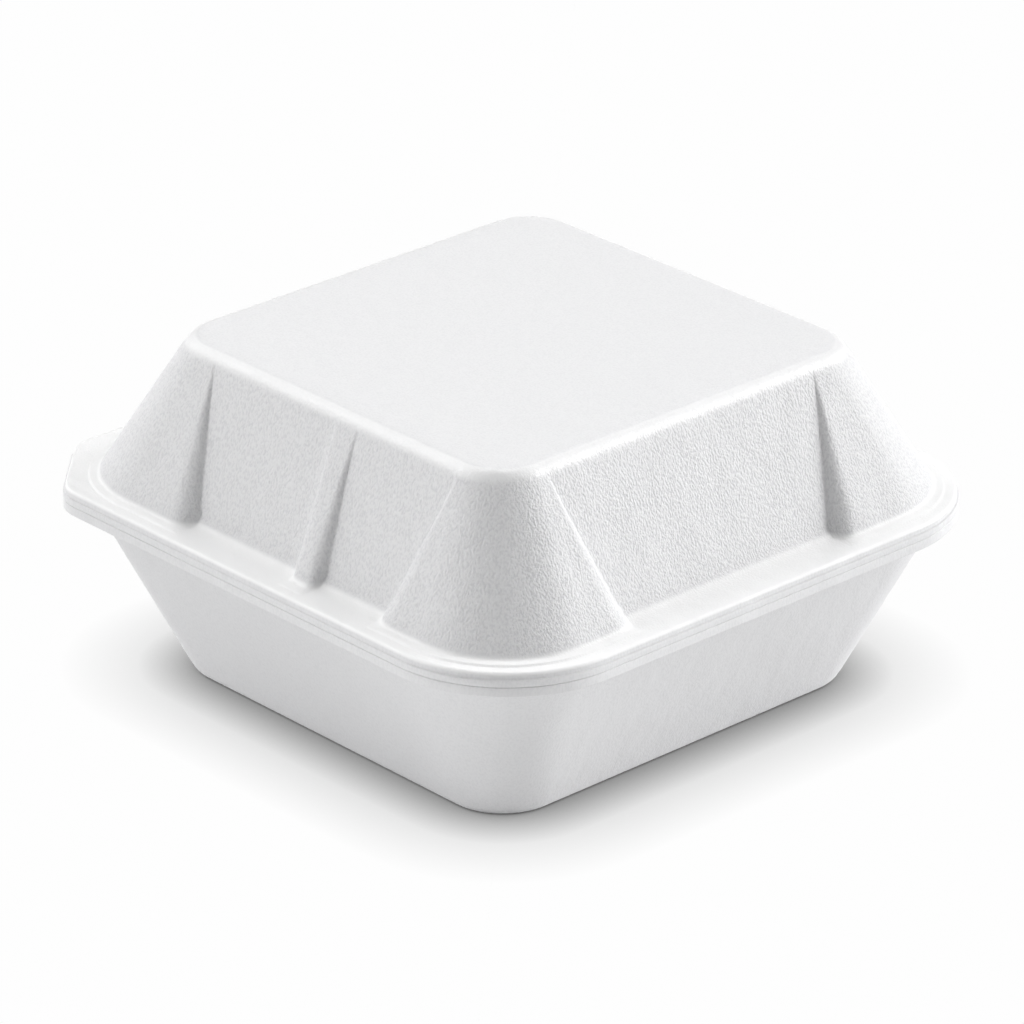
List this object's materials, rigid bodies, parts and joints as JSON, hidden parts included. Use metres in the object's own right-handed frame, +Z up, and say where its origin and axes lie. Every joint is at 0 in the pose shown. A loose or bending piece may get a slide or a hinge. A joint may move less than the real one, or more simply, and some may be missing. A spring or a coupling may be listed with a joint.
{
  "type": "hinged foam food container",
  "caption": "Closed square foam food box: tapered tub and raised lid with sunk wall panels and ribs, flat rims that meet, and a lid that swings back on a rear fold hinge.",
  "frame": {"origin": "on the table, under the middle of the closed container's rim", "axes": "+Z up, -Y the front that opens, +Y the hinge side, X along the hinge"},
  "size_m": [0.15, 0.1548, 0.078],
  "materials": {
    "base_foam": "white foam sheet, fine pebbled skin",
    "lid_foam": "white foam sheet, fine pebbled skin"
  },
  "bodies": {
    "tub_body": {"base": "base_foam"},
    "lid_body": {"lid": "lid_foam"}
  },
  "joints": [
    {"name": "lid_hinge", "type": "hinge", "parent": "tub_body", "child": "lid_body", "pos_m": [0, 0.0775, 0.0421], "axis": [-1, 0, 0], "range_deg": [0, 180]}
  ]
}
